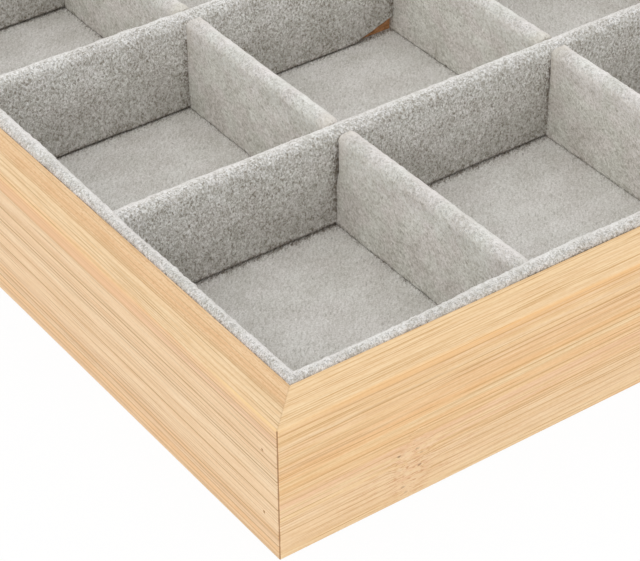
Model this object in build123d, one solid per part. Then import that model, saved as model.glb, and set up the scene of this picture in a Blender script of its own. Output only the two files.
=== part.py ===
# Lined bamboo jewelry tray: a mitred frame, a rebated base, cloth-covered linings and a lift-out divider grid.
# +X runs along the tray's length, +Y to its back and +Z up. The origin is the middle of the underside.
from build123d import *
import os

# Frame, outside sizes
frame_length = 350.0
frame_depth = 250.0
frame_height = 29.1
rail_thickness = 9.0
rail_edge_radius = 0.4

# Base panel, glued into a rebate that is cut from below
panel_thickness = 3.0
panel_recess = 0.3
panel_lap = 5.0
panel_fit = 0.2

# Headless steel pins, driven through each mitre from the short sides
pin_radius = 0.32
pin_length = 18.0
pin_set_depth = 0.3
pin_height_shares = [0.28, 0.76]

# Floor pad: a board with cloth glued on it
floor_board_thickness = 0.8
floor_cloth_thickness = 0.85
floor_fit = 0.2

# Side linings: boards with cloth over the inner face and the top edge
liner_board_thickness = 1.7
liner_cloth_thickness = 1.3
liner_rise = 0.6
liner_round_share = 0.46

# Dividers: a core board in a folded cloth, halved together where they cross
divider_height = 22.2
core_thickness = 2.3
divider_cloth_thickness = 1.0
divider_round_share = 0.46
divider_hem_gap = 0.3
divider_end_clearance = 0.3
slot_clearance = 0.15
slot_end_clearance = 0.2
slot_mouth_radius = 1.5
crossing_share = 0.5

# Grid layout: even columns, and uneven rows, of which the last takes what is left
column_count = 6
long_divider_names = ["front", "middle", "rear"]
row_depths = [57.9, 50.2, 48.3]

# The one cloth edge that was trimmed on the skew, so that the core shows below it
skew_trim_length = 10.6
skew_trim_height = 4.0

# One overrun for every cut
overrun = 1.0

# Levels, from the table up
panel_top = panel_recess + panel_thickness
floor_board_top = panel_top + floor_board_thickness
floor_top = floor_board_top + floor_cloth_thickness
divider_top = floor_top + divider_height
crossing_level = floor_top + crossing_share * divider_height
liner_top = frame_height + liner_rise

# Thicknesses and clear spaces
half_length = frame_length / 2
half_depth = frame_depth / 2
liner_thickness = liner_board_thickness + liner_cloth_thickness
divider_thickness = core_thickness + 2 * divider_cloth_thickness
wall_thickness = rail_thickness + liner_thickness
clear_length = frame_length - 2 * wall_thickness
clear_depth = frame_depth - 2 * wall_thickness

# Centre lines of the dividers
column_pitch = (clear_length + divider_thickness) / column_count
cross_places = [(i - column_count / 2) * column_pitch for i in range(1, column_count)]
long_places = [
    sum(row_depths[: i + 1]) + (i + 1 / 2) * divider_thickness - clear_depth / 2
    for i in range(len(row_depths))
]

# Each side of the tray: its name, its turn from the front, its length and its distance from the middle
sides = [
    ("front", 0, frame_length, half_depth),
    ("right", 90, frame_depth, half_length),
    ("back", 180, frame_length, half_depth),
    ("left", 270, frame_depth, half_length),
]


def block(low, high):
    """A box between two corners."""
    size = [h - l for l, h in zip(low, high)]
    middle = [(h + l) / 2 for l, h in zip(low, high)]
    return Pos(*middle) * Box(*size)


def upright(low, width, height):
    """A rectangle that stands on its low left corner, given as across and up."""
    return Pos(*low) * Rectangle(width, height, align=(Align.MIN, Align.MIN))


def bar_along_x(section, length):
    """A bar of that length about the middle; its section is drawn as Y across and Z up."""
    return extrude(Plane.YZ.offset(-length / 2) * section, length)


def mitred(section, length, reach):
    """A bar at the front of the tray, cut at 45 degrees inwards from the tray's slightly blunted corners."""
    corner = length / 2
    blunt = rail_edge_radius
    right_end = [
        (corner - blunt, -reach),
        (corner - blunt / 2, blunt / 2 - reach),
        (corner - wall_thickness, wall_thickness - reach),
    ]
    left_end = [(-x, y) for x, y in reversed(right_end)]
    return bar_along_x(section, length) & extrude(Polygon(*right_end, *left_end, align=None), liner_top)


def pin(place, start, length):
    """A pin along X, or its hole: it starts that far outside the pin's own outer end."""
    x, y, z, way = place
    return extrude(Plane(origin=(x - way * start, y, z), z_dir=(way, 0, 0)) * Circle(pin_radius), length)


def make_frame():
    """The four rails and the pins that hold their mitres."""
    mid_rail = half_depth - rail_thickness / 2
    places = [
        (side * (half_length - pin_set_depth), end * mid_rail, share * frame_height, -side)
        for side in (-1, 1)
        for end in (-1, 1)
        for share in pin_height_shares
    ]
    mouth = pin_set_depth + overrun
    holes = [pin(place, mouth, mouth + pin_length) for place in places]

    frame = {}
    for name, turn, length, reach in sides:
        bar = upright((-reach, 0), rail_thickness, frame_height)
        eased = fillet(bar.vertices(), rail_edge_radius)
        rebate = upright((rail_thickness - panel_lap - reach, -overrun), panel_lap + overrun, panel_top + overrun)
        frame[f"{name}_rail"] = Rot(0, 0, turn) * mitred(eased - rebate, length, reach) - holes
    frame["corner_pins"] = Compound(children=[pin(place, 0, pin_length) for place in places])
    return frame


def make_base():
    """The base panel, up against the roof of the rails' rebate."""
    inset = rail_thickness - panel_lap + panel_fit
    x = half_length - inset
    y = half_depth - inset
    return {"base_panel": block((-x, -y, panel_recess), (x, y, panel_top))}


def make_floor():
    """The floor board and its cloth, which reach under the side linings."""
    x = half_length - rail_thickness - floor_fit
    y = half_depth - rail_thickness - floor_fit
    return {
        "floor_board": block((-x, -y, panel_top), (x, y, floor_board_top)),
        "floor_cloth": block((-x, -y, floor_board_top), (x, y, floor_top)),
    }


def make_linings():
    """On each side a board against the rail, and cloth down its inner face and over its top."""
    board_top = liner_top - liner_cloth_thickness
    linings = {}
    for name, turn, length, reach in sides:
        foot = (rail_thickness - reach, floor_top)
        board = upright(foot, liner_board_thickness, board_top - floor_top)
        whole = upright(foot, liner_thickness, liner_top - floor_top)
        top_corners = whole.vertices().sort_by(Axis.Y)[-2:]
        cloth = fillet(top_corners, liner_round_share * liner_thickness) - board
        linings[f"{name}_liner_board"] = Rot(0, 0, turn) * mitred(board, length, reach)
        linings[f"{name}_liner_cloth"] = Rot(0, 0, turn) * mitred(cloth, length, reach)
    return linings


def slot_from_above():
    """The slot in a cross divider, drawn as X across and Z up, with its mouth rounded over."""
    half_slot = divider_thickness / 2 + slot_clearance
    half_mouth = half_slot + slot_mouth_radius
    mouth_level = divider_top - slot_mouth_radius
    slot = upright((-half_slot, crossing_level), 2 * half_slot, divider_height)
    mouth = upright((-half_mouth, mouth_level), 2 * half_mouth, slot_mouth_radius + overrun)
    lips = [Pos(side * half_mouth, mouth_level) * Circle(slot_mouth_radius) for side in (-1, 1)]
    return slot + (mouth - lips)


def slot_from_below():
    """The slot in a long divider, drawn as X across and Z up."""
    half_slot = divider_thickness / 2 + slot_clearance
    height = crossing_level + slot_end_clearance - floor_top
    return upright((-half_slot, floor_top - overrun), 2 * half_slot, height + overrun)


def divider(length, places, slot):
    """A core and its folded cloth along X, both cut through at each crossing."""
    core = upright((-core_thickness / 2, floor_top), core_thickness, divider_height - divider_cloth_thickness)
    hem_level = floor_top + divider_hem_gap
    whole = upright((-divider_thickness / 2, hem_level), divider_thickness, divider_top - hem_level)
    top_corners = whole.vertices().sort_by(Axis.Y)[-2:]
    cloth = fillet(top_corners, divider_round_share * divider_thickness) - core
    half_cut = divider_thickness / 2 + overrun
    cutter = extrude(Plane.XZ * slot, half_cut, both=True)
    cuts = [Pos(x, 0, 0) * cutter for x in places]
    return bar_along_x(core, length) - cuts, bar_along_x(cloth, length) - cuts


def skew_trim():
    """The sliver missing from the front of one cloth, up against the second cross divider."""
    end = cross_places[1] - divider_thickness / 2 - slot_clearance
    sliver = Polygon(
        (end - skew_trim_length, floor_top),
        (end, floor_top),
        (end, floor_top + skew_trim_height),
        align=None,
    )
    return extrude(Plane.XZ.offset(core_thickness / 2) * sliver, divider_cloth_thickness + overrun)


def make_long_dividers():
    """The dividers along the tray, slotted from below so that they sit over the cross dividers."""
    core, cloth = divider(clear_length - 2 * divider_end_clearance, cross_places, slot_from_below())
    dividers = {}
    for name, y in zip(long_divider_names, long_places):
        trimmed = cloth - skew_trim() if name == "middle" else cloth
        dividers[f"{name}_divider_core"] = Pos(0, y, 0) * core
        dividers[f"{name}_divider_cloth"] = Pos(0, y, 0) * trimmed
    return dividers


def make_cross_dividers():
    """The dividers from front to back, slotted from above."""
    core, cloth = divider(clear_depth - 2 * divider_end_clearance, long_places, slot_from_above())
    dividers = {}
    for number, x in enumerate(cross_places, start=1):
        stand = Pos(x, 0, 0) * Rot(0, 0, 90)
        dividers[f"cross_divider_{number}_core"] = stand * core
        dividers[f"cross_divider_{number}_cloth"] = stand * cloth
    return dividers


pieces = make_frame() | make_base() | make_floor() | make_linings() | make_long_dividers() | make_cross_dividers()
os.makedirs("parts", exist_ok=True)
for node, shape in pieces.items():
    export_step(shape, f"parts/{node}.step")
print(f"{len(pieces)} nodes, clear cells {column_pitch - divider_thickness:.2f} mm wide")
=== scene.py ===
# %% [markdown]
# # A velvet-lined bamboo jewelry tray
# The rails, boards and pins come from the CAD model and stay exactly where they are; here they only get
# their finishes. Everything made of velvet is sewn, so to speak, in this file: one sheet of cloth over each
# board. We start by loading the CAD frame and keeping its size.

# %% Load the frame
import math

import bmesh
import bpy
import numpy as np
from mathutils import Matrix, Vector


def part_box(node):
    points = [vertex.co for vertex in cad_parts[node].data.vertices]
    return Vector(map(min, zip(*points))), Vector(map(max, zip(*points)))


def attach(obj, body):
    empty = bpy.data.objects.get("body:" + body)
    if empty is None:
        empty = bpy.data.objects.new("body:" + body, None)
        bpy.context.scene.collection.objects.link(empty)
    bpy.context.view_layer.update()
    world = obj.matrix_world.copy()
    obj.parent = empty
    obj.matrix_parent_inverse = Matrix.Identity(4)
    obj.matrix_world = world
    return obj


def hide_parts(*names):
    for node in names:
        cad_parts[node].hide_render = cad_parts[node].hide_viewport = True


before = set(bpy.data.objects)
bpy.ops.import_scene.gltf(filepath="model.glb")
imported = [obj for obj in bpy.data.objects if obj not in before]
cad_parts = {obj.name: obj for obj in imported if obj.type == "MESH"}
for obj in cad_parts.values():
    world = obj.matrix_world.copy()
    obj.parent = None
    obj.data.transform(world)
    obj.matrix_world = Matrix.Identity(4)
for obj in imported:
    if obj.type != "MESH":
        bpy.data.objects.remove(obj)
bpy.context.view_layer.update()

MM = 0.001

# %% [markdown]
# ## The camera
# The photograph shows only the tray's front left corner, from a little above. A lens and a place were worked
# out from the rails' edges, so the camera is written as a place, the point on the rim that it looks at, and
# a slight roll.

# %% Camera
lens_mm = 138.284
camera_place = Vector((-348.649, -384.369, 292.567)) * MM
aimed_at = Vector((-144.711, -94.968, 29.1)) * MM
camera_roll = math.radians(-0.612)

camera = bpy.data.objects.new("camera", bpy.data.cameras.new("camera"))
camera.data.lens = lens_mm
camera.data.sensor_width = 36
camera.data.sensor_fit = "HORIZONTAL"
camera.data.clip_start, camera.data.clip_end = 0.01, 20
camera.location = camera_place
camera.rotation_mode = "QUATERNION"
looking = (aimed_at - camera_place).to_track_quat("-Z", "Y")
camera.rotation_quaternion = looking @ Matrix.Rotation(camera_roll, 3, "Z").to_quaternion()
bpy.context.scene.collection.objects.link(camera)
bpy.context.scene.camera = camera
print("camera stands", round((aimed_at - camera_place).length / MM), "mm from the rim")

# %% [markdown]
# ## A helper for finishes
# A Blender material is a graph of small boxes. Wiring them by hand takes many lines, so this helper adds a
# box, fills its inputs with numbers or with other boxes' outputs, and hands back its output.


# %% Wiring helper
class Wiring:
    """One material's node graph, written as sums and mixes."""

    def __init__(self, name):
        self.finish = bpy.data.materials.new(name)
        self.finish.use_nodes = True
        self.tree = self.finish.node_tree
        self.tree.nodes.clear()

    def box(self, kind, inputs=(), **settings):
        made = self.tree.nodes.new(kind)
        for key, value in settings.items():
            setattr(made, key, value)
        for key, value in dict(inputs).items():
            if isinstance(value, bpy.types.NodeSocket):
                self.tree.links.new(value, made.inputs[key])
            else:
                made.inputs[key].default_value = value
        return made

    def sum(self, operation, *values):
        return self.box("ShaderNodeMath", enumerate(values), operation=operation).outputs[0]

    def add(self, *values):
        total = values[0]
        for value in values[1:]:
            total = self.sum("ADD", total, value)
        return total

    def times(self, *values):
        total = values[0]
        for value in values[1:]:
            total = self.sum("MULTIPLY", total, value)
        return total

    def fade(self, value, start, end, low=0.0, high=1.0):
        """Runs smoothly from low to high while the value goes from start to end."""
        inputs = {"Value": value, "From Min": start, "From Max": end, "To Min": low, "To Max": high}
        return self.box("ShaderNodeMapRange", inputs, interpolation_type="SMOOTHSTEP").outputs[0]

    def colour(self, amount, under, over, how="MIX"):
        mixed = self.box("ShaderNodeMix", data_type="RGBA", blend_type=how)
        for key, value in ((0, amount), (6, under), (7, over)):
            if isinstance(value, bpy.types.NodeSocket):
                self.tree.links.new(value, mixed.inputs[key])
            else:
                mixed.inputs[key].default_value = value if key == 0 else (*value, 1)
        return mixed.outputs[2]

    def noise(self, place, detail=2.0, rough=0.5, warp=0.0):
        """Soft noise from about 0.2 to 0.8, one blob per unit."""
        inputs = {"Vector": place, "Scale": 1.0, "Detail": detail, "Roughness": rough, "Distortion": warp}
        return self.box("ShaderNodeTexNoise", inputs).outputs[0]

    def place(self, turn=0.0, shift=(0, 0, 0), size=(1, 1, 1)):
        """Where the surface is, in millimetres, turned, shifted and then divided by size."""
        here = self.box("ShaderNodeTexCoord").outputs["Object"]
        metres = {"Vector": here, "Rotation": (0, 0, turn), "Scale": (1 / MM,) * 3, "Location": shift}
        there = self.box("ShaderNodeMapping", metres).outputs[0]
        return self.stretch(there, size)

    def stretch(self, place, size, turn=(0, 0, 0)):
        """Divides a place by size along its axes, after an optional turn in degrees."""
        if any(turn):
            angles = [math.radians(a) for a in turn]
            place = self.box("ShaderNodeMapping", {"Vector": place, "Rotation": angles}).outputs[0]
        return self.box("ShaderNodeMapping", {"Vector": place, "Scale": [1 / s for s in size]}).outputs[0]

    def axes(self, place):
        return list(self.box("ShaderNodeSeparateXYZ", {0: place}).outputs)

    def point(self, x=0.0, y=0.0, z=0.0):
        return self.box("ShaderNodeCombineXYZ", {"X": x, "Y": y, "Z": z}).outputs[0]

    def length(self, place):
        return self.box("ShaderNodeVectorMath", {0: place}, operation="LENGTH").outputs["Value"]

    def normal(self):
        return self.axes(self.box("ShaderNodeNewGeometry").outputs["Normal"])

    def profile(self, height, lines, half, span):
        """A peak at each listed line, given as its height and its strength."""
        ramp = self.box("ShaderNodeValToRGB", {0: self.times(height, 1 / span)})
        stops = ramp.color_ramp.elements
        stops.remove(stops[1])
        stops[0].position, stops[0].color = 0.0, (0, 0, 0, 1)
        for middle, strength in lines:
            for shift, value in ((-half, 0.0), (0.0, strength), (half, 0.0)):
                stops.new((middle + shift) / span).color = (value, value, value, 1)
        return ramp.outputs[0]

    def surface(self, colour, rough, height, depth, **constants):
        """The shader itself. Depth is the relief in millimetres."""
        relief = {"Height": height, "Distance": depth * MM, "Strength": 1.0}
        normal = self.box("ShaderNodeBump", relief).outputs[0]
        inputs = {"Base Color": colour, "Roughness": rough, "Normal": normal, **constants}
        shader = self.box("ShaderNodeBsdfPrincipled", inputs).outputs[0]
        self.box("ShaderNodeOutputMaterial", {"Surface": shader})
        return self.finish


def paint(node, finish):
    """Gives a CAD node its finish."""
    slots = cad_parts[node].data.materials
    slots.clear()
    slots.append(finish)


# %% [markdown]
# ## Bamboo for the rails
# The rails are cut from bamboo glued up in strips. The grain runs along each rail: bands of honey, orange
# and pinkish wood some millimetres wide, and thin darker fibre lines between them. We measure along the
# rail, in from its outer face and up, so that one recipe serves all four.

# %% Rails' places
rail_length = {"front": 350.0, "right": 250.0, "back": 350.0, "left": 250.0}
rail_turn = {"front": 0, "right": 90, "back": 180, "left": 270}
half_length, half_depth = 175.0, 125.0
for name in rail_length:
    low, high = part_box(f"{name}_rail")
    print(name, "rail, mm:", [round(v / MM, 1) for v in high - low])

# %% [markdown]
# Each rail has its own colours, as each comes from another strip: the front one is more orange, the left one
# paler and pinker. A knuckle is where a leaf once grew: the lines break up there, and small dark flecks stay.
# A band is a height, half a width and a strength. The tilt is the grain's rise per millimetre and the place
# along the rail where it is nought.

# %% Rail colours
pale_top = (0.850, 0.625, 0.370)
orange_tints = [
    (0.87, 0.60, 0.35), (0.87, 0.605, 0.33), (0.84, 0.545, 0.28), (0.89, 0.665, 0.40),
]
pale_tints = [
    (0.82, 0.585, 0.37), (0.83, 0.60, 0.375), (0.80, 0.545, 0.32), (0.84, 0.63, 0.41),
]
orange_fibre, brown_fibre = (0.53, 0.285, 0.095), (0.46, 0.28, 0.12)
warm_wood, pink_wood, cream_wood = (0.86, 0.52, 0.245), (0.85, 0.54, 0.37), (0.89, 0.675, 0.445)
tan_wood, tan_speck, edge_band = (0.78, 0.505, 0.275), (0.58, 0.30, 0.13), (0.81, 0.49, 0.26)
orange_edge, yellow_edge = (0.90, 0.53, 0.22), (0.90, 0.58, 0.22)
knuckle_dash, beside_dash, knuckle_blush = (0.57, 0.27, 0.12), (0.64, 0.34, 0.17), (0.79, 0.47, 0.29)
fleck_brown, glue_brown = (0.22, 0.10, 0.04), (0.30, 0.145, 0.06)
rails = {
    "front": dict(
        tints=orange_tints, fibre=orange_fibre, tilt=(-0.007, 41.0), seed=3.0, knuckle=(28.5, 7.0),
        warm=[(18.7, 1.4, 0.55), (21.3, 1.2, 0.30), (15.7, 0.9, 0.40)],
        pink=[(12.4, 1.2, 0.35), (10.4, 0.7, 0.30)],
        cream=[(25.2, 0.9, 0.45), (7.9, 1.6, 0.45), (4.6, 4.6, 0.55)],
    ),
    "left": dict(
        tints=pale_tints, fibre=brown_fibre, tilt=(0.010, 250.0), seed=11.0, knuckle=(58.0, 17.0),
        warm=[(28.0, 0.9, 0.40), (5.3, 0.9, 0.35), (2.2, 1.3, 0.40)],
        pink=[(26.4, 1.2, 0.40)],
        cream=[(23.4, 1.4, 0.30), (15.6, 1.5, 0.30), (12.8, 1.0, 0.30), (8.9, 2.6, 0.40)],
    ),
    "back": dict(
        tints=pale_tints, fibre=orange_fibre, tilt=(-0.006, 350.0), seed=23.0, knuckle=(231.0, 12.0),
        warm=[(8.0, 1.8, 0.45), (26.0, 0.8, 0.40)], pink=[(18.0, 2.0, 0.30)], cream=[(14.0, 1.2, 0.35)],
    ),
    "right": dict(
        tints=orange_tints, fibre=brown_fibre, tilt=(0.005, 250.0), seed=37.0, knuckle=(143.0, 20.0),
        warm=[(13.0, 2.2, 0.45), (3.0, 1.0, 0.40)], pink=[(22.0, 1.5, 0.30)], cream=[(8.0, 1.2, 0.35)],
    ),
}
print("colours for the rails:", ", ".join(rails))

# %% [markdown]
# The longest fibre lines are what the eye knows a piece of bamboo by, so they are drawn near the
# corner that the photograph shows, each as a height and a strength, and thrown with seeded dice elsewhere.
# A stretch is where its lines begin and end along the rail. The left rail's stretches count from its back.
# Blender's colour ramp holds 32 stops and a line takes three, so no list has more than ten lines. On the
# rails' tops a line's height is its distance in from the outer face.

# %% Long fibre lines
front_start_high = [
    (28.0, 0.58), (26.5, 0.48), (25.9, 0.31), (24.8, 0.41), (24.2, 0.44),
    (22.4, 0.37), (21.8, 0.34), (21.1, 0.44), (20.2, 0.48), (19.6, 0.44),
]
front_start_low = [
    (18.9, 0.37), (18.1, 0.34), (16.8, 0.20), (15.4, 0.27), (14.1, 0.34),
    (12.9, 0.31), (10.8, 0.31), (8.5, 0.20), (6.7, 0.31), (2.1, 0.24),
]
front_knuckle_high = [
    (27.8, 0.61), (26.3, 0.44), (25.1, 0.34), (23.9, 0.27), (21.7, 0.31),
    (16.9, 0.24), (14.5, 0.44), (13.4, 0.41), (12.0, 0.44),
]
front_knuckle_low = [
    (9.5, 0.51), (8.1, 0.48), (4.7, 0.41), (3.8, 0.41), (1.0, 0.24),
]
front_on_high = [
    (27.7, 0.78), (23.6, 0.74), (22.6, 0.62), (20.8, 0.20), (20.1, 0.38),
    (18.4, 0.51), (17.4, 0.74), (16.4, 0.24), (14.2, 0.61), (12.0, 0.41),
]
front_on_low = [
    (11.2, 0.31), (9.7, 0.37), (8.7, 0.34), (6.6, 0.60), (5.7, 0.24),
    (4.7, 0.37), (3.5, 0.31), (0.8, 0.34),
]
left_high = [
    (27.3, 0.60), (26.8, 0.35), (25.5, 0.85), (24.8, 0.35), (21.8, 0.35),
    (20.9, 0.95), (18.6, 0.55), (17.8, 0.90), (17.1, 0.55), (14.0, 0.55),
]
left_low = [
    (11.4, 0.90), (9.0, 0.25), (6.4, 0.40), (5.5, 0.70), (4.6, 0.85),
    (3.1, 0.65), (1.8, 0.50), (0.9, 0.40),
]
front_top = [
    (1.1, 0.32), (1.5, 0.36), (2.1, 0.36), (2.6, 0.22), (3.1, 0.25),
    (4.4, 0.29), (5.3, 0.14), (6.6, 0.14), (7.7, 0.36),
]
front_top_on = [
    (1.3, 0.18), (2.3, 0.36), (3.7, 0.14), (4.4, 0.25), (5.0, 0.22),
    (6.1, 0.32), (6.7, 0.22), (8.5, 0.29),
]
left_top = [
    (0.5, 0.25), (1.25, 0.32), (2.5, 0.30), (3.3, 0.16), (4.35, 0.47),
    (4.75, 0.43), (5.2, 0.25), (6.0, 0.32), (8.3, 0.25),
]
stretches = {
    "front": [
        (-30, 18, front_start_high), (-30, 18, front_start_low),
        (16, 42, front_knuckle_high), (16, 42, front_knuckle_low),
        (38, 112, front_on_high), (38, 112, front_on_low),
    ],
    "left": [(150, 280, left_high), (150, 280, left_low)],
    "back": [],
    "right": [],
}
top_lines = {"front": [(-30, 50, front_top), (50, 112, front_top_on)], "left": [(150, 280, left_top)]}
line_half, line_span = 0.19, 30.0  # half a line's width, and the height that a ramp covers
top_line_half, top_line_span = 0.17, 12.0
for name, drawn in stretches.items():
    dice = np.random.default_rng(int(rails[name]["seed"]))
    taken = [(low, high) for low, high, _ in drawn]
    for low in range(-10, int(rail_length[name]), 62):
        if all(low + 60 < a + 20 or low > b - 20 for a, b in taken):
            heights = np.arange(1.2, 28, 2.9) + dice.uniform(-1.0, 1.0, 10)
            drawn.append((low, low + 66, [(float(h), float(s)) for h, s in zip(heights, dice.uniform(0.25, 0.6, 10))]))
    print(name, "rail has", len(drawn), "stretches of long lines")

# %% [markdown]
# The flecks of the front rail's knuckle are drawn too, as a place along the rail, a height and a
# strength.

# %% Knuckle flecks
knuckle_flecks = {
    "front": [
        (25.6, 10.7, 0.9), (29.7, 10.6, 0.5), (30.6, 9.3, 0.3),
        (30.2, 6.6, 0.8), (26.6, 3.1, 0.5), (27.3, 1.6, 0.35),
    ]
}
for name in ("left", "back", "right"):
    dice = np.random.default_rng(60 + int(rails[name]["seed"]))
    places = np.array(rails[name]["knuckle"]) + dice.normal(0, 2.2, (5, 2))
    knuckle_flecks[name] = [(float(a), float(u), float(s)) for (a, u), s in zip(places, dice.uniform(0.3, 0.9, 5))]
fleck_length, fleck_height = 0.55, 0.30
print("flecks on the rails:", {name: len(flecks) for name, flecks in knuckle_flecks.items()})

# %% [markdown]
# The recipe works as a painter would: broad tints first, then strips, hair lines and long lines, then the
# knuckle, the coloured edges of the two rails in the photograph, and the glue in the mitres last.


# %% Bamboo recipe
def bamboo(rail, tints, fibre, tilt, seed, knuckle, warm, pink, cream):
    w = Wiring(f"bamboo_{rail}")
    length = rail_length[rail]
    reach = half_depth if rail in ("front", "back") else half_length
    local = w.place(-math.radians(rail_turn[rail]), (length / 2, reach, 0))
    along, inward, up = w.axes(local)
    on_top = w.fade(w.normal()[2], 0.6, 0.95)

    # The knuckle, an upright oval on the outer face
    k_along, k_up = knuckle
    lean = w.sum("MULTIPLY_ADD", up, -0.15, 0.15 * k_up)
    oval = w.point(
        w.times(w.add(along, lean, -k_along), 1 / 5.5), w.times(inward, 1 / 5.0), w.times(w.add(up, -k_up), 1 / 8.5)
    )
    at_knuckle = w.fade(w.length(oval), 1.1, 0.35)

    # Layers: up and inward with a slight tilt, hardly wavy, a little broken at the knuckle
    wave = w.noise(w.stretch(local, (90, 9, 7)), detail=1)
    blocks = {"Vector": w.stretch(local, (2.6, 5, 0.9)), "Scale": 1.0}
    jumble = w.axes(w.box("ShaderNodeTexVoronoi", blocks).outputs["Color"])[0]
    rise = w.add(
        up, w.times(w.add(along, -tilt[1]), tilt[0]), w.times(wave, 0.4), -0.2,
        w.times(w.add(jumble, -0.5), at_knuckle, 1.7),
    )
    layer = w.add(rise, w.times(inward, 0.83), seed * 7.3)

    def bands(width, detail=1.0, run=150):
        return w.noise(w.point(w.times(along, 1 / run), w.times(layer, 1 / width), seed), detail=detail)

    def lines(spacing, half, run):
        """Thin lines at random heights, each with its own strength, that come and go along the rail."""
        line = w.box("ShaderNodeTexVoronoi", {"W": w.times(layer, 1 / spacing), "Scale": 1.0}, voronoi_dimensions="1D")
        thin = w.fade(w.times(line.outputs["Distance"], spacing), half, half * 0.3)
        own = w.fade(w.axes(line.outputs["Color"])[1], 0.25, 0.85, 0.25, 1.0)
        stays = w.noise(w.point(w.times(along, 1 / run), w.times(layer, 0.85 / spacing), seed + half), detail=2)
        return w.times(thin, own, w.fade(stays, 0.42, 0.60))

    def strips(ground, places, colour):
        for height, half, strength in places:
            ragged = w.add(rise, w.times(w.add(bands(1.1, 2, 45), -0.5), 2.8), -height)
            off = w.sum("ABSOLUTE", ragged)
            there = w.times(w.fade(off, half, half * 0.35), w.fade(inward, 1.6, 0.6), strength)
            ground = w.colour(there, ground, colour)
        return ground

    ground = w.colour(w.fade(bands(3.6), 0.40, 0.60), tints[0], tints[1])
    ground = w.colour(w.fade(bands(1.4, 2, 110), 0.50, 0.64, 0, 0.5), ground, tints[2])
    ground = w.colour(w.fade(bands(5.0), 0.52, 0.66), ground, tints[3])
    ground = w.colour(w.times(on_top, 0.70), ground, pale_top)
    for places, colour in ((warm, warm_wood), (pink, pink_wood), (cream, cream_wood)):
        ground = strips(ground, places, colour)

    if rail == "left":  # tan wood on the inner half of the top
        inner = w.times(on_top, w.fade(w.add(inward, w.times(bands(1.2, 2, 60), 0.6)), 4.45, 4.85))
        deepest = w.fade(w.sum("ABSOLUTE", w.add(inward, -5.9)), 1.4, 0.3)
        ground = w.colour(w.times(inner, w.add(0.50, w.times(deepest, 0.34))), ground, tan_wood)

    # Hair lines all over, the long drawn lines, and many short thin ones
    hair = w.noise(w.point(w.times(along, 1 / 9), w.times(layer, 1 / 0.32), seed), detail=2, rough=0.65)
    dust = w.noise(w.stretch(local, (0.8, 0.4, 0.4)), detail=1)
    shade = w.add(w.fade(hair, 0.30, 0.70, -0.11, 0.07), w.fade(dust, 0.3, 0.7, -0.03, 0.03))
    ground = w.colour(1.0, ground, w.point(*(w.add(1.0, w.times(shade, k)) for k in (0.55, 1.0, 1.6))), "MULTIPLY")
    ragged_end = w.add(along, w.times(w.add(w.noise(w.point(0.0, w.times(up, 1 / 0.8), seed), detail=0), -0.5), 44))
    comes = w.fade(w.noise(w.point(w.times(along, 1 / 22), w.times(up, 1 / 0.7), seed), detail=2), 0.30, 0.48, 1.0, 1.5)
    long_lines = 0.0
    for start, end, drawn in stretches[rail]:
        here = w.times(w.fade(ragged_end, start - 4, start + 4), w.fade(ragged_end, end + 4, end - 4))
        long_lines = w.sum("MAXIMUM", long_lines, w.times(w.profile(rise, drawn, line_half, line_span), here))
    outside = w.fade(on_top, 0.4, 0.0)
    broken = w.fade(at_knuckle, 0.2, 0.8, 1.0, 0.45)
    long_lines = w.times(long_lines, outside, broken)
    for start, end, drawn in top_lines.get(rail, ()):
        here = w.times(w.fade(along, start - 6, start + 6), w.fade(along, end + 6, end - 6), on_top)
        line = w.profile(w.add(inward, w.times(wave, 0.3), -0.15), drawn, top_line_half, top_line_span)
        long_lines = w.sum("MAXIMUM", long_lines, w.times(line, here))
    long_lines = w.times(long_lines, comes)
    medium = w.times(lines(1.10, 0.13, 45), w.fade(on_top, 0, 1, 0.58, 0.48))
    fine = w.times(lines(0.55, 0.11, 24), w.fade(on_top, 0, 1, 0.90, 0.80))
    ground = w.colour(w.sum("MAXIMUM", long_lines, w.sum("MAXIMUM", medium, fine)), ground, fibre)

    # Inside the knuckle: short dashes, pink and pale smudges, and the flecks; longer dashes on both sides of it
    dash = w.fade(w.noise(w.stretch(local, (1.5, 3, 0.24)), detail=2), 0.55, 0.66)
    ground = w.colour(w.times(at_knuckle, dash, 0.90), ground, knuckle_dash)
    beside = w.length(w.stretch(oval, (3.2, 1, 0.9)))
    dash = w.fade(w.noise(w.stretch(local, (5.5, 3, 0.22)), detail=2), 0.56, 0.66)
    ground = w.colour(w.times(w.fade(beside, 1.15, 0.6), dash, 0.72), ground, beside_dash)
    blush = w.noise(w.stretch(local, (2.8, 3, 0.9)), detail=2)
    ground = w.colour(w.times(at_knuckle, w.fade(blush, 0.50, 0.64), 0.45), ground, knuckle_blush)
    ground = w.colour(w.times(at_knuckle, w.fade(blush, 0.47, 0.36), 0.55), ground, cream_wood)
    ragged = w.noise(w.stretch(local, (0.4, 3, 0.25)), detail=1)
    flecks = 0.0
    for f_along, f_up, strength in knuckle_flecks[rail]:
        spot = w.point(
            w.times(w.add(along, -f_along), 1 / fleck_length), w.times(w.add(up, -f_up), 1 / fleck_height), inward
        )
        near = w.add(w.length(spot), w.times(ragged, 1.2))
        flecks = w.sum("MAXIMUM", flecks, w.times(w.fade(near, 1.7, 0.9), strength))
    ground = w.colour(w.times(flecks, 0.8), ground, fleck_brown)

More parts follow.
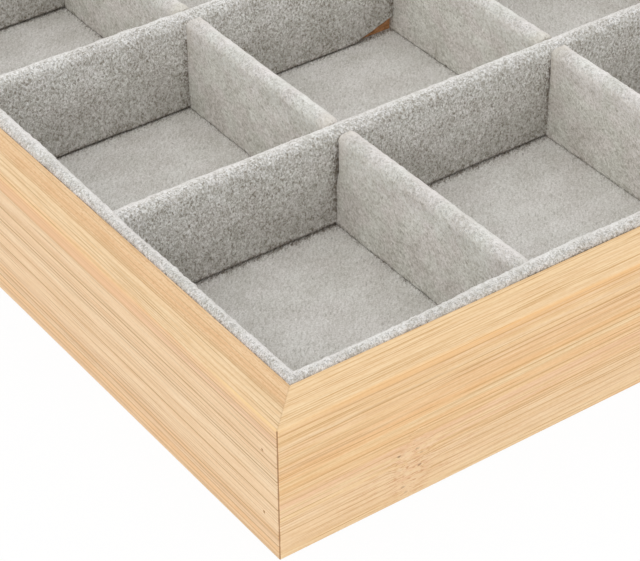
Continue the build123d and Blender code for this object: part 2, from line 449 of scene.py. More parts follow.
    if rail == "front":  # a thin orange strip along the outer edge, from a little way off the corner
        off = w.sum("ABSOLUTE", w.add(up, -28.45))
        strip = w.times(w.fade(off, 0.95, 0.35), w.fade(inward, 0.7, 0.3), w.fade(along, 4, 24, 0.25, 1.0))
        strip = w.times(strip, w.fade(bands(0.7, 2, 30), 0.35, 0.55, 0.5, 1.0))
        ground = w.colour(w.times(strip, 0.55), ground, orange_edge)
    if rail == "left":  # a yellow strip near the corner, an orange band below the edge, and specks on the tan wood
        strip = w.times(w.fade(inward, 0.60, 0.25), w.fade(up, 28.3, 28.9), w.fade(along, 224, 238))
        ground = w.colour(w.times(strip, 0.38), ground, yellow_edge)
        above = w.fade(w.add(rise, w.times(bands(1.2, 2, 60), 0.6)), 25.3, 25.9)
        band = w.times(above, w.fade(along, 225, 195), outside)
        ground = w.colour(w.times(band, 0.62), ground, edge_band)
        specks = w.noise(w.stretch(local, (0.9, 0.22, 0.3)), detail=1)
        ground = w.colour(w.times(inner, w.fade(specks, 0.57, 0.68), 0.45), ground, tan_speck)

    # The glued mitre, a thin broken line at every corner
    world = w.axes(w.place())
    corner = [w.sum("SUBTRACT", half, w.sum("ABSOLUTE", axis)) for half, axis in zip((half_length, half_depth), world)]
    off_mitre = w.sum("ABSOLUTE", w.sum("SUBTRACT", *corner))
    seep = w.noise(w.place(size=(1.2, 1.2, 1.6)), detail=3)
    glue = w.times(w.fade(w.add(off_mitre, w.times(seep, -0.26)), 0.13, 0.0), w.fade(on_top, 0, 1, 0.80, 0.16))
    ground = w.colour(glue, ground, glue_brown)

    height = w.add(w.times(hair, 0.4), w.times(long_lines, -0.8), w.times(medium, -0.5), w.times(flecks, -1.0))
    rough = w.fade(hair, 0.3, 0.7, 0.50, 0.62)
    return w.surface(ground, rough, height, 0.03, **{"Specular IOR Level": 0.30})


for name, looks in rails.items():
    paint(f"{name}_rail", bamboo(name, **looks))
print("bamboo on", len(rails), "rails")


# %% [markdown]
# ## Plywood, fibreboard and steel
# These hardly show. The base is a thin plywood panel with a quiet grain, the boards inside the velvet are
# brown pressed fibre, and the pins are dull steel wire, driven in a little below the wood.

# %% Base, boards and pins
def plywood():
    w = Wiring("base_plywood")
    grain = w.noise(w.place(size=(60, 2.2, 2)), detail=4, rough=0.6, warp=0.4)
    pores = w.noise(w.place(size=(9, 0.35, 0.35)), detail=2)
    colour = w.colour(w.fade(grain, 0.35, 0.65), (0.66, 0.47, 0.27), (0.78, 0.60, 0.38))
    colour = w.colour(w.fade(pores, 0.60, 0.72, 0, 0.5), colour, (0.50, 0.33, 0.18))
    return w.surface(colour, w.fade(grain, 0.3, 0.7, 0.62, 0.75), pores, 0.04, **{"Specular IOR Level": 0.25})


def fibreboard():
    w = Wiring("brown_fibreboard")
    chips = w.noise(w.place(size=(0.9, 0.9, 0.5)), detail=4, rough=0.65)
    colour = w.colour(w.fade(chips, 0.35, 0.65), (0.36, 0.165, 0.068), (0.62, 0.31, 0.145))
    return w.surface(colour, w.fade(chips, 0.3, 0.7, 0.80, 0.92), chips, 0.08, **{"Specular IOR Level": 0.2})


def pin_wire():
    w = Wiring("pin_steel")
    marks = w.noise(w.place(size=(0.25, 0.06, 0.06)), detail=2)
    colour = w.colour(marks, (0.20, 0.14, 0.09), (0.33, 0.25, 0.17))
    return w.surface(colour, w.fade(marks, 0.3, 0.7, 0.38, 0.60), marks, 0.01, Metallic=0.6)


board_finish = fibreboard()
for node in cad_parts:
    if node.endswith(("_core", "_board")):
        paint(node, board_finish)
paint("base_panel", plywood())
paint("corner_pins", pin_wire())


# %% [markdown]
# ## Velvet
# The pile of velvet stands in little tufts. Where it leans away from us it looks dark, where it leans
# towards us it looks pale. That look is painted into the colour as shade, so the cloth on the long dividers
# is a good deal darker and coarser than the same cloth on the cross dividers, and the floor is smooth. The
# recipe therefore takes two tones, a painted shade at the foot and a lighter one for the upper part, the
# size of a tuft along each axis and how strongly the tufts differ. Over a fold the colour is painted nearly
# white as light: speckled on the near side, a smooth painted sheen on the side that is named. Near a slot, a
# hem or the rail the cloth gets a darker painted shade, and near the mouths of the slots a little cream
# painted highlight; the sheets carry both as values on their points.

# %% Velvet recipe
# Painted light over the folds: a pale tone, and a brighter one for the painted sheen.
fold_light_tone, painted_sheen_tone = (0.66, 0.645, 0.615), (0.76, 0.74, 0.71)
# A dark painted shade and a cream painted highlight, both placed by values on the sheets.
painted_shade_tone, cream_highlight_tone = (0.13, 0.10, 0.07), (0.72, 0.665, 0.575)
pinkish, greenish = (1.025, 0.985, 0.985), (0.985, 1.005, 0.965)  # slight casts that drift over the cloth


def velvet(name, low, high, tuft, turn=(0, 0, 0), *, contrast, fine, coarse, relief, sheen_side=None, cast=0.15):
    w = Wiring(name)
    here = w.place()
    x, y, up = w.axes(here)
    big = w.noise(w.stretch(here, [1.55 * t for t in tuft], turn), detail=2.0, rough=0.6, warp=0.9)
    small = w.noise(w.stretch(here, tuft, turn), detail=2.0, rough=0.6, warp=0.9)
    fuzz = w.noise(w.stretch(here, (0.38, 0.38, 0.38)), detail=2.0, rough=0.6)
    clouds = w.noise(w.stretch(here, (8, 7, 6)), detail=3)
    share = w.fade(up, 7, 24, *coarse)
    tufts = w.add(w.times(big, share), w.times(small, w.sum("SUBTRACT", 1.0, share)))
    # Painted shade: the low tone at the foot, lightening to the high tone above.
    colour = w.colour(w.fade(w.add(up, w.times(clouds, 6)), 8, 29), low, high)

    calm, pepper = 1.0, 0.0
    # Painted light over the folds: tops lighter, on the named side a smooth painted sheen with less mottle, the near
    # side speckled darker.
    if sheen_side:
        nx, ny, nz = w.normal()
        if sheen_side == "inside":
            aim = w.times(w.add(w.times(x, nx, 1 / half_length), w.times(y, ny, 1 / half_depth)), -1.0)
        else:
            aim = nx if sheen_side == "+x" else ny
        fold_light = w.fade(nz, 0.0, 0.80)
        painted_sheen = w.fade(w.add(aim, w.times(tufts, 0.5), -0.25), -0.45, 0.55)
        colour = w.colour(fold_light, colour, w.colour(painted_sheen, fold_light_tone, painted_sheen_tone))
        calm = w.sum("SUBTRACT", 1.0, w.times(fold_light, w.fade(painted_sheen, 0, 1, 0.10, 0.78)))
        near = w.times(w.fade(nz, -0.15, 0.5), w.fade(painted_sheen, 0.80, 0.2))
        # Painted light: the upper faces lighten towards the top, tuft by tuft.
        upper_light = w.times(w.fade(up, 17, 25.5), w.fade(nz, 0.35, 0.0))
        colour = w.colour(w.times(upper_light, w.fade(tufts, 0.46, 0.64, 0.18, 0.70)), colour, fold_light_tone)
        pepper = w.times(w.sum("MAXIMUM", near, w.times(upper_light, 0.6)), w.fade(fuzz, 0.54, 0.66), 0.65)

    swing = w.times(w.add(w.fade(tufts, 0.30, 0.70, -contrast, contrast), w.fade(fuzz, 0.3, 0.7, -fine, fine)), calm)
    swing = w.add(swing, w.fade(clouds, 0.3, 0.7, -0.07, 0.07))
    colour = w.colour(1.0, colour, w.point(*(w.add(1.0, w.times(swing, k)) for k in (0.94, 1.0, 1.12))), "MULTIPLY")
    tint = w.noise(w.stretch(w.place(shift=(40, 7, 3)), (9, 8, 6)), detail=1)
    tint = w.colour(w.fade(tint, 0.38, 0.62), pinkish, greenish)
    colour = w.colour(cast, colour, w.colour(1.0, colour, tint, "MULTIPLY"))
    dark = w.times(w.fade(tufts, 0.42, 0.28), 0.50, calm)
    colour = w.colour(w.sum("MAXIMUM", pepper, dark), colour, [t * 0.45 for t in low])

    # From the sheets' points: a cream painted highlight and a dark painted shade.
    cream, painted_shade = (w.box("ShaderNodeAttribute", attribute_name=n).outputs["Fac"] for n in ("cream", "painted_shade"))
    # Painted highlight: a cream tone near the slots' mouths.
    colour = w.colour(cream, colour, cream_highlight_tone)
    ragged = w.fade(w.add(painted_shade, w.times(w.add(tufts, -0.5), -1.6), w.times(w.add(fuzz, -0.5), -0.5)), 0.12, 0.95)
    colour = w.colour(w.times(ragged, w.fade(painted_shade, 0.0, 0.12)), colour, painted_shade_tone)
    height = w.times(w.add(tufts, w.times(fuzz, 0.35)), w.fade(calm, 0, 1, 0.25, 1.0))
    return w.surface(
        colour, w.fade(tufts, 0.3, 0.7, 1.0, 0.9), height, relief,
        **{"Specular IOR Level": 0.1, "Sheen Weight": 0.15, "Sheen Roughness": 0.5},
    )


# Painted shade: the long dividers' cloth gets darker tones than the same cloth on the cross dividers.
long_velvet_shaded = velvet(
    "velvet_long_shaded", (0.455, 0.438, 0.405), (0.625, 0.607, 0.572), (0.47, 0.47, 0.62), (0, 10, 0),
    contrast=0.48, fine=0.22, coarse=(0.55, 0.15), sheen_side="+y", relief=0.30,
)
cross_velvet = velvet(
    "velvet_cross", (0.625, 0.605, 0.56), (0.72, 0.695, 0.65), (0.50, 0.75, 0.50), (-32, 0, 0),
    contrast=0.26, fine=0.17, coarse=(0.6, 0.3), sheen_side="+x", cast=0.55, relief=0.25,
)
floor_velvet = velvet(
    "velvet_floor", (0.635, 0.615, 0.58), (0.635, 0.615, 0.58), (1.0, 0.40, 0.5), (0, 0, -50),
    contrast=0.17, fine=0.12, coarse=(0.3, 0.3), relief=0.14,
)
side_velvet = velvet(
    "velvet_linings", (0.53, 0.51, 0.485), (0.59, 0.57, 0.55), (0.48, 0.48, 0.55),
    contrast=0.36, fine=0.22, coarse=(0.5, 0.2), sheen_side="inside", cast=0.2, relief=0.25,
)
print("four velvets:", ", ".join(v.name for v in (long_velvet_shaded, cross_velvet, floor_velvet, side_velvet)))


# %% [markdown]
# ## A sheet of velvet over a board
# Cloth folded over a board can be modelled as a grid: one way along the board, the other way round its
# section. We draw the section once, lay the grid lines where slots begin and end, leave out the faces inside
# the slots, and tuck the raw edges in so that the cloth has a thickness. Small lumps, from seeded dice, keep
# the surface from looking moulded, and are stronger over the fold, where they give the pile's soft outline.

# %% Soft lumps
def soft_lumps(places, size, seed):
    """Smooth random heights from -1 to 1 for places in millimetres, one lump per size."""
    dice = np.random.default_rng(seed)
    heights, order = dice.uniform(-1, 1, 4096), dice.permutation(4096)
    grid = places / size + 500
    cell = np.floor(grid).astype(int)
    part = grid - cell
    part = part * part * (3 - 2 * part)
    total = np.zeros(places.shape[:-1])
    for corner in np.ndindex(2, 2, 2):
        x, y, z = np.moveaxis(cell + corner, -1, 0)
        pick = order[(order[(order[x % 4096] + y) % 4096] + z) % 4096]
        total += heights[pick] * np.prod(np.where(corner, part, 1 - part), axis=-1)
    return total


def ease(t):
    """From 0 to 1, smoothly, while t goes from 0 to 1."""
    t = np.clip(t, 0, 1)
    return t * t * (3 - 2 * t)


def bulge(t):
    """How far a quarter round has fallen away at t, from 0 at its start to 1 at its end."""
    return 1 - np.sqrt(1 - np.clip(t, 0, 1) ** 2)


# %% Grid lines and the fold's section
def grid_lines(low, high, step, kept=()):
    """Lines about a step apart, with one on each kept place."""
    stops = sorted({low, high, *[k for k in kept if low < k < high]})
    lines = [low]
    for a, b in zip(stops, stops[1:]):
        parts = max(1, round((b - a) / step))
        lines += [a + (b - a) * i / parts for i in range(1, parts + 1)]
    return lines


def folded_section(half, foot, top, radius, kept):
    """Up one face, over the rounded top and down the other: across, up and the way out."""
    right = [(half, z, 1.0, 0.0) for z in grid_lines(foot, top - radius, 0.75, kept)]
    turns = 7
    for i in range(1, turns + 1):
        a = math.pi / 2 * i / turns
        c, s = math.cos(a), math.sin(a)
        right.append((half - radius + radius * c, top - radius + radius * s, c, s))
    return np.array([(-y, z, -ny, nz) for y, z, ny, nz in right] + right[-2::-1])


def width_of(section):
    return float(np.linalg.norm(np.diff(section[:, :2], axis=0), axis=1).sum())


# %% Sheet maker
broad_lump, small_lump, tuft_lump = 4.5, 1.5, 0.55
deepest_tuck, board_skin = 0.85, 0.06  # how far an edge tucks in, and how far it stays off its board


def velvet_sheet(name, points, outward, finish, tuck, keep, marks, swell, fuzz):
    """A grid of points in millimetres with its raw edges tucked in, and the area that it was cut to."""
    rows, columns = points.shape[:2]
    lumps = soft_lumps(points, broad_lump, 1) + 0.8 * soft_lumps(points, small_lump, 2)
    proud = swell * lumps + fuzz * soft_lumps(points, tuft_lump, 3)
    shaped = (points + outward * np.maximum(proud, -0.08)[..., None]).reshape(-1, 3)
    number = np.arange(rows * columns).reshape(rows, columns)
    quads = np.stack([number[:-1, :-1], number[:-1, 1:], number[1:, 1:], number[1:, :-1]], -1)
    along = np.linalg.norm(np.diff(points, axis=0), axis=-1)[:, :-1]
    across = np.linalg.norm(np.diff(points, axis=1), axis=-1)[:-1]
    keep = np.ones(along.shape, bool) if keep is None else keep
    quads, area = quads[keep], float((along * across)[keep].sum())
    a, b, _, d = (points.reshape(-1, 3)[quads[len(quads) // 2, k]] for k in range(4))
    if np.dot(np.cross(b - a, d - a), outward.reshape(-1, 3)[quads[len(quads) // 2, 0]]) < 0:
        quads = quads[:, ::-1]

    # Rim edges belong to one quad only; each gets a strip that runs in to the tucked points
    edges = quads[:, [[0, 1], [1, 2], [2, 3], [3, 0]]].reshape(-1, 2)
    keys = edges.min(axis=1) * number.size + edges.max(axis=1)
    _, first, count = np.unique(keys, return_index=True, return_counts=True)
    rim = edges[first[count == 1]]
    rim_points = np.unique(rim)
    target = tuck(points.reshape(-1, 3)[rim_points], outward.reshape(-1, 3)[rim_points])
    twin = np.full(number.size, -1)
    tucked = ~np.isnan(target[:, 0])
    twin[rim_points[tucked]] = number.size + np.arange(tucked.sum())
    rim = rim[(twin[rim] >= 0).all(axis=1)]
    strips = np.stack([rim[:, 1], rim[:, 0], twin[rim[:, 0]], twin[rim[:, 1]]], -1)
    places = np.vstack([shaped, target[tucked]])
    quads = np.vstack([quads, strips])
    used, quads = np.unique(quads, return_inverse=True)
    quads = quads.reshape(-1, 4)

    data = bpy.data.meshes.new(name)
    data.from_pydata((places[used] * MM).tolist(), [], quads.tolist())
    for mark, values in marks.items():
        values = values.reshape(-1)
        # Tucked-in points get more painted shade than the rim they turn from.
        values = np.concatenate([values, np.minimum(1, values[rim_points[tucked]] + (0.4 if mark == "painted_shade" else 0))])
        data.attributes.new(mark, "FLOAT", "POINT").data.foreach_set("value", values[used].astype(np.float32))
    data.polygons.foreach_set("use_smooth", [True] * len(data.polygons))
    data.materials.append(finish)
    piece = bpy.data.objects.new(name, data)
    bpy.context.scene.collection.objects.link(piece)
    return piece, area * MM**2


def room_for(inside):
    """Tucks a rim in by as much as the board leaves room for."""

    def tuck(p, way):
        depth = np.full(len(p), deepest_tuck)
        for _ in range(13):
            stuck = inside(p - way * depth[:, None]) & (depth > 0.2)
            depth[stuck] -= 0.05
        return p - way * depth[:, None]

    return tuck


def fit_cloth(cloth, body, cad_cloth, flat):
    """The cloth takes the CAD cloth's place on a body."""
    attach(cloth, body)
    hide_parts(cad_cloth)
    print(f"{cloth.name}: cut {flat[0]:.1f} x {flat[1]:.1f} mm, {len(cloth.data.polygons)} faces")


# %% [markdown]
# ## The dividers' cloths
# Each divider wears one folded sheet, open at the foot. The long ones are slotted from below, and the cross
# ones from above with the slot's mouth rounded over, so the tops of the long dividers run on unbroken. In
# the cross dividers' slots the cloth closes over the board's end, so no brown shows there. Hands have
# pressed some folds down by a few tenths of a millimetre, more at the back than at the front.

# %% Grid of the tray
divider_top, floor_top = 27.15, 4.95
half_divider, half_core, core_top, fold_radius = 2.15, 1.15, 26.15, 1.978
half_slot, long_slot_top, cross_slot_floor = 2.30, 16.25, 16.05
mouth_radius, mouth_level = 1.5, 25.65


def middle_of(node, axis):
    low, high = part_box(node)
    return (low[axis] + high[axis]) / 2 / MM


cross_places = {number: middle_of(f"cross_divider_{number}_core", 0) for number in range(1, 6)}
long_places = {name: middle_of(f"{name}_divider_core", 1) for name in ("front", "middle", "rear")}
print("cross dividers at", [round(x, 2) for x in cross_places.values()])
print("long dividers at", [round(y, 2) for y in long_places.values()])


def edge_falloff(distance, reach):
    """1 on an edge, down to 0 at its reach."""
    return np.clip(1 - np.asarray(distance) / reach, 0, 1)


def off_slots(lines, places):
    """How far each line is from the nearest crossing's middle, with its sign."""
    places = np.array(list(places.values()))
    lines = np.asarray(lines)
    return lines - places[np.argmin(abs(lines[:, None] - places), axis=1)]


def lines_beside(places, reach, steps):
    """Grid lines at these steps from both faces of each divider."""
    return [place + side * (reach + step) for place in places.values() for side in (-1, 1) for step in steps]


def each_line(row, lines):
    """The same row of values for every grid line."""
    return np.repeat(row[None, :], len(lines), axis=0)


def left_out(lines, heights, places, half, below):
    """The quads of a sheet that stay, without those in the slots."""
    slot = abs(off_slots((lines[1:] + lines[:-1]) / 2, places)) < half - 0.05
    middle = (heights[1:] + heights[:-1]) / 2
    return ~(slot[:, None] & ((middle < long_slot_top) if below else (middle > cross_slot_floor))[None, :])


press_level, press_height = 17, 9  # only what lies above this level is pressed
press_start, press_run = 20, 80  # along a divider, measured from its end at the corner


def pressed(heights, amounts, from_corner):
    """How much lower each point of a section ends up: by the first amount near the corner, then by the last."""
    first, last = amounts
    amount = first + (last - first) * np.clip((from_corner - press_start) / press_run, 0, 1)
    return amount * ease((heights - press_level) / press_height)


# %% Long dividers' cloths
long_fit, end_reach = 2.06, 0.3  # the cloth closes in on the crossing cloths, and reaches the linings
skew_end, skew_length, skew_height = cross_places[2] - half_slot, 9.8, 4.0
long_hem = floor_top + 0.5
long_pressed = {"front": (-0.15, 0.30), "middle": (-0.50, 0.12), "rear": (0.1, 0.25)}  # below nought it stands higher
long_nearer = {"front": 0.0, "middle": 0.25, "rear": 0.1}  # the cloth sits off the board's middle


def dress_long(name):
    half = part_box(f"{name}_divider_core")[1].x / MM
    middle = long_places[name]
    edges = lines_beside(cross_places, long_fit, (0, 0.4, 0.9, 1.6, 2.6))
    levels = (long_hem + 0.35, long_hem + 0.8, long_hem + 1.4, long_slot_top)
    section = folded_section(half_divider, long_hem, divider_top, fold_radius, levels)
    xs = np.array(grid_lines(-half - end_reach, half + end_reach, 0.5, edges))
    X, Y = np.meshgrid(xs, section[:, 0], indexing="ij")
    Z = each_line(section[:, 1], xs)
    hem_wave = 0.16 * soft_lumps(np.stack([X, Y, 0 * X], -1), 5.0, 4)
    Z = Z + hem_wave * (1 - ease((Z - long_hem) / 3))
    if name == "middle":  # the hem trimmed on the skew: the lowest points slide up
        run = (X - (skew_end - skew_length)) / skew_length
        cut = floor_top + 0.9 + (skew_height - 0.9) * np.clip(run, 0, 1)
        slides = (Y < 0) & (run > 0) & (X < skew_end + 1) & (Z < cut + 3)
        Z = np.where(slides, cut + 3 * (Z - long_hem) / (cut + 3 - long_hem), Z)
    Z = Z - pressed(Z, long_pressed[name], X + half_length)
    Y = Y - long_nearer[name] * np.where(Y < 0, 1 + ease((10 - Z) / 4), 1)
    points = np.stack([X, middle + Y, Z], -1)
    outward = np.stack([0 * X, each_line(section[:, 2], xs), each_line(section[:, 3], xs)], -1)
    beside = abs(off_slots(xs, cross_places)) - long_fit
    # Painted shade: darker beside each crossing, more so lower down, and along the hem.
    lower = np.clip((26 - Z) / 5, 0, 1) * (0.45 + 0.55 * ease((Z - 6) / 6))
    painted_shade = np.maximum((edge_falloff(beside, 3.4) ** 1.3)[:, None] * lower * 0.68, edge_falloff(Z - long_hem, 1.8) * 0.46)
    tuck = room_for(lambda p: (abs(p[:, 1] - middle) < half_core + board_skin) & (p[:, 2] < core_top + board_skin))
    keep = left_out(xs, section[:, 1], cross_places, long_fit, True)
    fuzz = 0.05 + 0.09 * np.clip(outward[..., 2], 0, 1)
    cloth, area = velvet_sheet(
        f"{name}_divider_velvet", points, outward, long_velvet_shaded, tuck, keep, {"painted_shade": painted_shade}, 0.11, fuzz
    )
    flat = (width_of(section), xs[-1] - xs[0])
    fit_cloth(cloth, f"{name}_divider", f"{name}_divider_cloth", flat)


for name in long_places:
    dress_long(name)


# %% Cross dividers' cloths
slot_skin = 0.07  # the cloth in a slot stands this far off the board's end
cross_half, cross_hem = 2.05, floor_top + 0.08
cross_pressed = {1: (-0.50, 0.22), 2: (0.22, 0.28), 3: (0.15, 0.25), 4: (0.0, 0.2), 5: (0.1, 0.1)}
cross_shift = {1: -0.15, 2: -0.30, 3: 0.1, 4: -0.1, 5: 0.15}  # the cloth sits off the board's middle
end_round, end_drop, end_pinch = 2.6, 0.10, 0.60
pinch_before = -20  # the pinch is at the front divider only


def dress_cross(number):
    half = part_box(f"cross_divider_{number}_core")[1].y / MM
    middle = cross_places[number]
    edges = lines_beside(long_places, half_slot, (-slot_skin, 0.25, 0.6, 1.1, 1.7, 2.6))
    levels = (cross_hem + 0.4, cross_hem + 0.9, cross_slot_floor, mouth_level - 0.6)
    section = folded_section(cross_half, cross_hem, divider_top, fold_radius, levels)
    ys = np.array(grid_lines(-half - end_reach, half + end_reach, 0.5, edges))
    X, Z = each_line(section[:, 0], ys), each_line(section[:, 1], ys)
    Y = 0 * X + ys[:, None]
    off = off_slots(ys, long_places)[:, None]

    # By a slot the fold is rounded over: back at the mouth, and down a little at the top
    lip = 0.75 * mouth_radius * bulge(np.clip(Z - mouth_level, 0, mouth_radius) / mouth_radius)
    Y = Y + np.sign(off) * lip * np.clip(1 - (abs(off) - half_slot) / 5, 0, 1)
    pinch = end_pinch * (Y < pinch_before) * (number == 1)
    X = X * (1 - pinch / cross_half * bulge(1 - (abs(off) - half_slot) / 1.4) * ease((Z - 15) / 4))
    Z = Z - end_drop * bulge(1 - (abs(off) - half_slot) / end_round) * ease((Z - 20) / 6)
    Z = Z - pressed(Z, cross_pressed[number], Y + half_depth) * ease((abs(off) - half_slot) / 3)
    points = np.stack([middle + cross_shift[number] + X, Y, Z], -1)
    outward = np.stack([each_line(section[:, 2], ys), 0 * X, each_line(section[:, 3], ys)], -1)

    beside = np.repeat(abs(off) - half_slot, len(section), axis=1)
    # Painted shade beside the slots, fading out near the top, and along the hem.
    by_slot = 0.30 * edge_falloff(beside, 0.7) * np.clip((25 - Z) / 3, 0, 1)
    painted_shade = np.maximum(by_slot, edge_falloff(Z - cross_hem, 0.7) * 0.45)
    # Painted highlight: a cream tone near the slots' mouths, on the upper part.
    cream = 0.40 * edge_falloff(beside, 3.5) * ease((Z - 15) / 8) * np.clip(1.2 - soft_lumps(points, 2.0, 5), 0, 1)
    board = room_for(lambda p: (abs(p[:, 0] - middle) < half_core + board_skin) & (p[:, 2] < core_top + board_skin))

    def tuck(p, way):
        target = board(p, way)
        gap = off_slots(p[:, 1], long_places)
        in_slot = (abs(gap) < half_slot + mouth_radius + 0.1) & (p[:, 2] > cross_slot_floor + 0.1)
        edge = p[:, 1] - gap + np.sign(gap) * (half_slot - slot_skin)
        centre = np.full(len(p), middle + cross_shift[number])
        curtain = np.stack([centre, edge, np.minimum(p[:, 2], core_top + 0.1)], -1)
        return np.where(in_slot[:, None], curtain, target)

    keep = left_out(ys, section[:, 1], long_places, half_slot, False)
    fuzz = 0.04 + 0.10 * np.clip(outward[..., 2], 0, 1)
    marks = {"painted_shade": painted_shade, "cream": cream}
    node = f"cross_divider_{number}"
    cloth, area = velvet_sheet(f"{node}_velvet", points, outward, cross_velvet, tuck, keep, marks, 0.10, fuzz)
    fit_cloth(cloth, "divider_grid", f"{node}_cloth", (width_of(section), ys[-1] - ys[0]))


for number in cross_places:
    dress_cross(number)


# %% [markdown]
# ## The linings
# The cloth of each side runs up its inner face and over the top edge to the rail. Near a corner it is drawn
# tight; further on it stands a little higher and fuller. At the corners two linings meet on the diagonal;
# the end points slide in that diagonal plane, so the two sheets meet exactly.

# %% Linings
rail_inner, liner_round, liner_rest = 9.0, 1.35, 29.6
liner_inner = 11.7
hem_end = 12.6  # a hem turns in up to this far from the corner
fuller = {  # tight until, full from, higher by, wider by
    "front": (14, 78, 0.65, 0.85),
    "back": (20, 80, 0.4, 0.5),
    "left": (52, 92, 0.42, 0.55),
    "right": (30, 80, 0.3, 0.4),
}


def lining_section():
    """From the rail over the top and down, as distance in from the outer face, up and the way out."""
    outer, inner = [], []
    turns = 5
    for i in range(turns + 1):
        s, c = math.sin(math.pi / 2 * i / turns), math.cos(math.pi / 2 * i / turns)
        outer.append((rail_inner + liner_round * (1 - c), liner_rest - liner_round * (1 - s), -c, s))
        inner.append((liner_inner - liner_round * (1 - s), liner_rest - liner_round * (1 - c), s, c))
    levels = grid_lines(floor_top + 0.1, liner_rest - liner_round, 0.8, (floor_top + 0.5, floor_top + 1.0))
    return np.array(outer + inner[1:] + [(liner_inner, z, 1.0, 0.0) for z in levels[-2::-1]])


def dress_side(name):
    turn = math.radians(rail_turn[name])
    spin = np.array([[math.cos(turn), -math.sin(turn), 0], [math.sin(turn), math.cos(turn), 0], [0, 0, 1]])
    reach = half_depth if name in ("front", "back") else half_length
    length = rail_length[name]
    section = lining_section()
    us = np.array(grid_lines(-1, 1, 1.0 / length))[:, None]
    tight_until, full_from, higher, wider = fuller[name]
    B, Z = each_line(section[:, 0], us), each_line(section[:, 1], us)
    full = ease(((1 - abs(us)) * length / 2 - tight_until) / (full_from - tight_until))
    full = full * (1 + 0.25 * soft_lumps(np.stack([us * length / 2, 0 * us, 0 * us], -1), 14.0, 6))
    share = (B - rail_inner) / (liner_inner - rail_inner)
    Z = Z + higher * full * ease((Z - 27) / 2.2)
    B = B + wider * full * share * ease((Z - 6) / 12)
    points = np.stack([us * (length / 2 - B), B - reach, Z], -1) @ spin.T
    at_mitre = abs(us) == 1
    lean = np.where(at_mitre, np.sign(us) * section[None, :, 2] / 2, 0)
    way_in = section[None, :, 2] * np.where(at_mitre, 0.5, 1)
    outward = np.stack([-lean, way_in, 0 * us + section[None, :, 3]], -1) @ spin.T
    low, high = (np.array(corner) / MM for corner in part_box(f"{name}_liner_board"))
    room = room_for(lambda p: ((low - board_skin < p) & (p < high + board_skin)).all(axis=1))
    ends = length / 2 - hem_end

    def tuck(p, way):  # only the hems turn in; the mitred ends meet the next lining
        return np.where(abs(p[:, 0 if name in ("front", "back") else 1])[:, None] < ends, room(p, way), np.nan)

    # Painted shade along the rail's edge and at the foot of the lining.
    at_rail = np.clip(1 - np.arange(len(section)) / 3, 0, 1)[None, :] * (0.16 + 0.40 * soft_lumps(points, 2.2, 7))
    painted_shade = np.maximum(edge_falloff(Z - floor_top, 1.1) * 0.6, at_rail)
    fuzz = 0.05 + 0.20 * np.clip(outward[..., 2], 0, 1) * (abs(us) < 1)
    cloth, area = velvet_sheet(
        f"{name}_lining_velvet", points, outward, side_velvet, tuck, None, {"painted_shade": painted_shade}, 0.12, fuzz
    )
    flat = (width_of(section), length - 2 * rail_inner)
    fit_cloth(cloth, "tray", f"{name}_liner_cloth", flat)


for name in rail_length:
    dress_side(name)

# %% [markdown]
# ## The floor
# One flat sheet lies on the floor board and reaches under the linings. It is only very slightly uneven, and
# has painted shadow where the dividers stand on it.

# %% Floor cloth
low, high = (np.array(corner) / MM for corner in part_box("floor_cloth"))
floor_steps, floor_tuck = (0.0, 0.35, 0.8, 1.4, 2.2), 0.7
xs = np.array(grid_lines(low[0], high[0], 2.0, lines_beside(cross_places, cross_half, floor_steps)))
ys = np.array(grid_lines(low[1], high[1], 2.0, lines_beside(long_places, half_divider, floor_steps)))
X, Y = np.meshgrid(xs, ys, indexing="ij")
points = np.stack([X, Y, 0 * X + high[2]], -1)
outward = np.zeros_like(points)
outward[..., 2] = 1
off_cross = (abs(off_slots(xs, cross_places)) - cross_half)[:, None]
off_long = (abs(off_slots(ys, long_places)) - half_divider)[None, :]
# Painted shadow on the floor along the feet of the dividers.
painted_shade = np.maximum(edge_falloff(off_cross, 1.3) * 0.48, edge_falloff(off_long, 2.5) ** 1.5 * 0.58)
painted_shade = painted_shade * (1 - 0.6 * ease(np.maximum(-off_cross, -off_long) - 0.2))  # less under the dividers themselves
marks = {"painted_shade": painted_shade}
cloth, area = velvet_sheet(
    "floor_velvet", points, outward, floor_velvet, lambda p, way: p - way * floor_tuck, None, marks, 0.03, 0.0
)
fit_cloth(cloth, "tray", "floor_cloth", (high[1] - low[1], high[0] - low[0]))


# %% [markdown]
# ## Table, backdrop and light
# The photograph is on plain white. The table is white and keeps the tray's soft shadow; towards the camera
# it also glows a little, so that it reads as white paper. A wide, even sky lights everything at a plain
# level, and one large soft lamp stands high on the left.

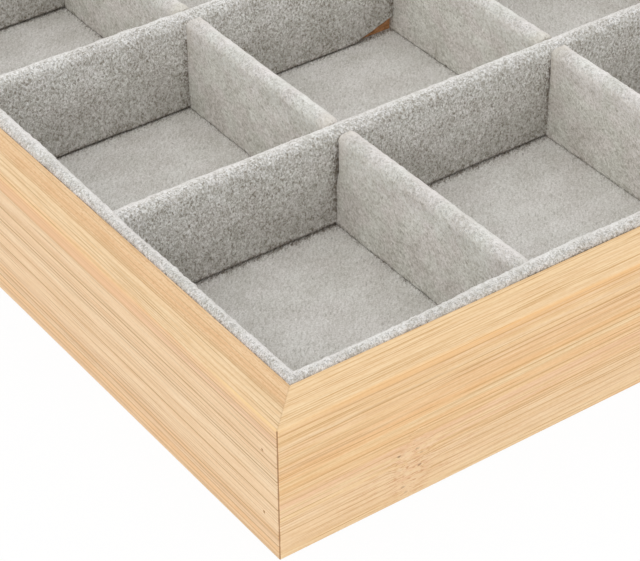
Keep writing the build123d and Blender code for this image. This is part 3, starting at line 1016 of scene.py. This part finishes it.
# %% Table
def white_table():
    w = Wiring("white_table")
    path = w.box("ShaderNodeLightPath").outputs
    seen = w.sum("MAXIMUM", path["Is Camera Ray"], w.sum("MAXIMUM", path["Is Glossy Ray"], path["Is Transmission Ray"]))
    grain = w.noise(w.place(size=(3, 3, 3)), detail=2)
    tone = w.colour(grain, (0.93, 0.93, 0.93), (0.95, 0.95, 0.95))
    paper = w.box("ShaderNodeBsdfDiffuse", {"Color": tone}).outputs[0]
    glow = w.box("ShaderNodeEmission", {"Color": (1, 1, 1, 1), "Strength": 1.0}).outputs[0]
    both = w.box("ShaderNodeMixShader", {0: w.times(seen, 0.94), 1: paper, 2: glow}).outputs[0]
    w.box("ShaderNodeOutputMaterial", {"Surface": both})
    return w.finish


table_half = 4.0  # metres
table_mesh = bmesh.new()
bmesh.ops.create_grid(table_mesh, x_segments=8, y_segments=8, size=table_half)
table_data = bpy.data.meshes.new("table")
table_mesh.to_mesh(table_data)
table_mesh.free()
table_data.materials.append(white_table())
table = bpy.data.objects.new("table", table_data)
bpy.context.scene.collection.objects.link(table)
print("table", 2 * table_half, "m wide")

# %% Sky and lamp
sky_strength = 0.95
lamp_power, lamp_size, lamp_place = 4.6, 1.2, (-1.1, -0.5, 1.3)

scene = bpy.context.scene
scene.view_settings.view_transform = "Standard"
world = bpy.data.worlds.new("sky")
scene.world = world
world.use_nodes = True
tree = world.node_tree
tree.nodes.clear()
either = tree.nodes.new("ShaderNodeMixShader")
path = tree.nodes.new("ShaderNodeLightPath").outputs
tree.links.new(path["Is Camera Ray"], either.inputs[0])
for number, strength in ((1, sky_strength), (2, 1.0)):  # what lights the tray, and what the camera sees
    sky = tree.nodes.new("ShaderNodeBackground")
    sky.inputs["Color"].default_value = (1, 1, 1, 1)
    sky.inputs["Strength"].default_value = strength
    tree.links.new(sky.outputs[0], either.inputs[number])
out = tree.nodes.new("ShaderNodeOutputWorld")
tree.links.new(either.outputs[0], out.inputs["Surface"])

lamp = bpy.data.objects.new("soft_lamp", bpy.data.lights.new("soft_lamp", "AREA"))
lamp.data.size = lamp_size
lamp.data.energy = lamp_power
lamp.location = lamp_place
lamp.rotation_mode = "QUATERNION"
lamp.rotation_quaternion = (-lamp.location).to_track_quat("-Z", "Y")
scene.collection.objects.link(lamp)
print("sky", sky_strength, "lamp", lamp_power)
